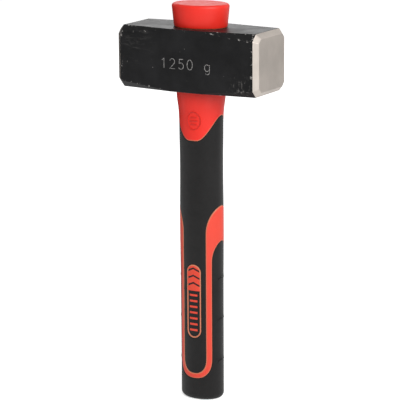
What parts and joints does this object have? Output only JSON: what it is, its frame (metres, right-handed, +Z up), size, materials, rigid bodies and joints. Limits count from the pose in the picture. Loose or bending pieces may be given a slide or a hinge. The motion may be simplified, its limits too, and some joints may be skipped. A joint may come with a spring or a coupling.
{
  "type": "lump hammer",
  "caption": "Lump hammer: square forged steel head with bevelled striking faces on an oval fibreglass-cored handle with a flared cap and a soft two-part grip.",
  "frame": {"origin": "middle of the butt's lowest plane, on the handle's axis", "axes": "+Z up the handle's axis from the butt to the cap, +X along the head towards one striking face, +Y through the head's thickness, away from the front badge"},
  "size_m": [0.11, 0.043, 0.28],
  "materials": {
    "head_steel": "black lacquer over forged steel, with ground bare-steel striking faces and bevels",
    "bond_resin": "cured amber epoxy",
    "hard_plastic": "satin red moulded polypropylene",
    "core_fibreglass": "pultruded glass-fibre rod",
    "soft_grip": "matte black thermoplastic elastomer with fine moulded texture"
  },
  "bodies": {
    "root": {"hammer_head": "head_steel", "eye_bond": "bond_resin", "handle_body": "hard_plastic", "fibreglass_core": "core_fibreglass", "upper_soft_grip": "soft_grip", "lower_soft_grip": "soft_grip", "front_badge_infill": "soft_grip", "rear_badge_infill": "soft_grip"}
  },
  "joints": []
}
